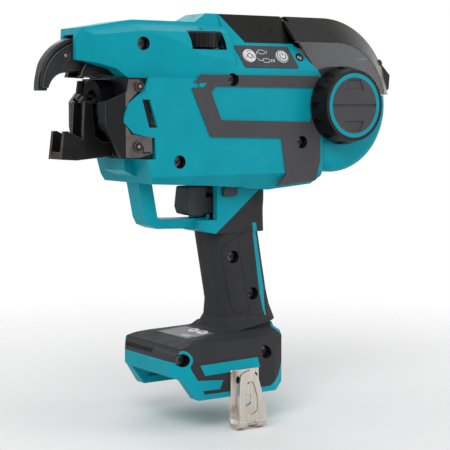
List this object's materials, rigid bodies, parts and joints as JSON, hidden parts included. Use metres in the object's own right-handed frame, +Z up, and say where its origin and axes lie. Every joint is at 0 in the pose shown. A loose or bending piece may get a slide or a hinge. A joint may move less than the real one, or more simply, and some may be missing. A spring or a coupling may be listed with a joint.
{
  "type": "rebar tying tool",
  "caption": "Cordless rebar tying tool: pistol body with a hinged reel cover, curved wire jaw, twisting hooks, geared motor, wire feed, trigger, dial, keys and belt hook.",
  "frame": {"origin": "on the foot's underside in the middle of its width, on the battery slide, under the front of the handle", "axes": "+X towards the rear of the tool, +Y towards its right side, +Z up"},
  "size_m": [0.272, 0.0917, 0.265],
  "materials": {
    "teal_shell": "satin moulded",
    "soft_grip": "fine texture",
    "dark_plastic": "satin moulded",
    "black_plastic": "satin",
    "smoke_window": "smoke clear",
    "pale_key": "satin",
    "panel_film": "satin film",
    "display": "clear",
    "black_steel": "blackened",
    "plate_sheet": "phosphated",
    "steel": "turned",
    "nickel": "nickel plated",
    "alloy": "cast",
    "laminations": "varnished",
    "contact": "bright"
  },
  "bodies": {
    "housing": {"left_housing": "teal_shell", "right_housing": "teal_shell", "left_grip": "soft_grip", "right_grip": "soft_grip", "left_inlay": "dark_plastic", "right_inlay": "dark_plastic", "top_cover": "black_plastic", "cover_hinge_pin": "steel", "control_panel": "panel_film", "switch_unit": "black_plastic", "foot_panel": "panel_film", "display_window": "display", "belt_hook": "nickel", "hook_screw": "black_steel", "housing_screws": "black_steel", "plate_screws": "black_steel", "terminal_block": "black_plastic", "terminal_blades": "contact", "controller": "alloy", "upper_guide": "black_steel", "guide_cheeks": "black_steel", "guide_pins": "steel", "guide_base": "black_steel", "lower_guide_pin": "steel", "front_frame": "black_plastic", "left_plate": "plate_sheet", "right_plate": "plate_sheet", "twister_hood": "black_steel", "gear_case": "alloy", "motor_can": "black_steel", "motor_stator": "laminations", "feed_unit": "alloy", "wire_guide": "alloy"},
    "cover": {"reel_cover": "black_plastic", "cover_windows": "smoke_window", "latch_pin": "steel"},
    "latch": {"cover_latch": "black_plastic"},
    "knob": {"reel_knob": "black_plastic", "knob_ring": "teal_shell", "knob_disc": "dark_plastic", "reel_spindle": "steel"},
    "hub": {"reel_hub": "black_plastic"},
    "mode_key": {"mode_button": "pale_key"},
    "power_key": {"power_button": "pale_key"},
    "dial": {"torque_dial": "black_plastic"},
    "trigger_body": {"trigger": "dark_plastic"},
    "lock": {"lock_button": "dark_plastic"},
    "up_key": {"up_button": "pale_key"},
    "down_key": {"down_button": "pale_key"},
    "lower_jaw": {"lower_guide": "black_steel"},
    "twister": {"twist_sleeve": "steel", "twist_hooks": "steel", "twist_shaft": "steel", "twist_gear": "steel"},
    "motor": {"motor_rotor": "steel", "motor_shaft": "steel", "motor_fan": "black_plastic"},
    "drive_feed": {"drive_feed_gear": "steel"},
    "idler_feed": {"idler_feed_gear": "steel"},
    "cutter": {"cutter_lever": "steel"}
  },
  "joints": [
    {"name": "cover_swing", "type": "hinge", "parent": "housing", "child": "cover", "pos_m": [0.067, 0, 0.2422], "axis": [0, -1, 0], "range_deg": [0, 75]},
    {"name": "latch_pull", "type": "hinge", "parent": "cover", "child": "latch", "pos_m": [0.14929, 0, 0.21508], "axis": [0, -1, 0], "range_deg": [0, 6], "stiffness_Nm_per_rad": 0.3, "springref_deg": -5.73},
    {"name": "knob_turn", "type": "hinge", "parent": "housing", "child": "knob", "pos_m": [0.099, 0, 0.186], "axis": [0, 1, 0], "range_deg": [0, 90]},
    {"name": "hub_spin", "type": "hinge", "parent": "housing", "child": "hub", "pos_m": [0.099, 0, 0.186], "axis": [0, 1, 0], "continuous": true},
    {"name": "mode_press", "type": "slide", "parent": "housing", "child": "mode_key", "axis": [0, 0.8682, -0.4961], "range_m": [0, 0.0008], "stiffness_N_per_m": 800, "springref_m": -0.001},
    {"name": "power_press", "type": "slide", "parent": "housing", "child": "power_key", "axis": [0, 0.8682, -0.4961], "range_m": [0, 0.0008], "stiffness_N_per_m": 800, "springref_m": -0.001},
    {"name": "dial_turn", "type": "hinge", "parent": "housing", "child": "dial", "pos_m": [-0.004, -0.02, 0.227], "axis": [0, 0, 1], "range_deg": [-130, 130]},
    {"name": "trigger_pull", "type": "slide", "parent": "housing", "child": "trigger_body", "axis": [1, 0, 0], "range_m": [0, 0.005], "stiffness_N_per_m": 1200, "springref_m": -0.002},
    {"name": "lock_slide", "type": "slide", "parent": "housing", "child": "lock", "axis": [0, 1, 0], "range_m": [0, 0.004]},
    {"name": "up_press", "type": "slide", "parent": "housing", "child": "up_key", "axis": [0.0596, 0, -0.9982], "range_m": [0, 0.0006], "stiffness_N_per_m": 800, "springref_m": -0.001},
    {"name": "down_press", "type": "slide", "parent": "housing", "child": "down_key", "axis": [0.0596, 0, -0.9982], "range_m": [0, 0.0006], "stiffness_N_per_m": 800, "springref_m": -0.001},
    {"name": "lower_jaw_swing", "type": "hinge", "parent": "housing", "child": "lower_jaw", "pos_m": [-0.059, 0, 0.159], "axis": [0, -1, 0], "range_deg": [0, 60], "stiffness_Nm_per_rad": 0.15, "springref_deg": -17.19},
    {"name": "twist_spin", "type": "hinge", "parent": "housing", "child": "twister", "pos_m": [0, 0, 0.19], "axis": [1, 0, 0], "continuous": true},
    {"name": "motor_spin", "type": "hinge", "parent": "housing", "child": "motor", "pos_m": [0, 0, 0.172], "axis": [1, 0, 0], "continuous": true},
    {"name": "feed_spin", "type": "hinge", "parent": "housing", "child": "drive_feed", "pos_m": [0.016, -0.00715, 0.226], "axis": [0, 0, 1], "continuous": true},
    {"name": "idler_spin", "type": "hinge", "parent": "housing", "child": "idler_feed", "pos_m": [0.016, 0.00715, 0.226], "axis": [0, 0, 1], "continuous": true},
    {"name": "cutter_swing", "type": "hinge", "parent": "housing", "child": "cutter", "pos_m": [-0.042, 0, 0.215], "axis": [0, 1, 0], "range_deg": [0, 15]}
  ],
  "couplings": [
    {"joint": "motor_spin", "follows": "twist_spin", "ratio": -3},
    {"joint": "idler_spin", "follows": "feed_spin", "ratio": -1}
  ]
}
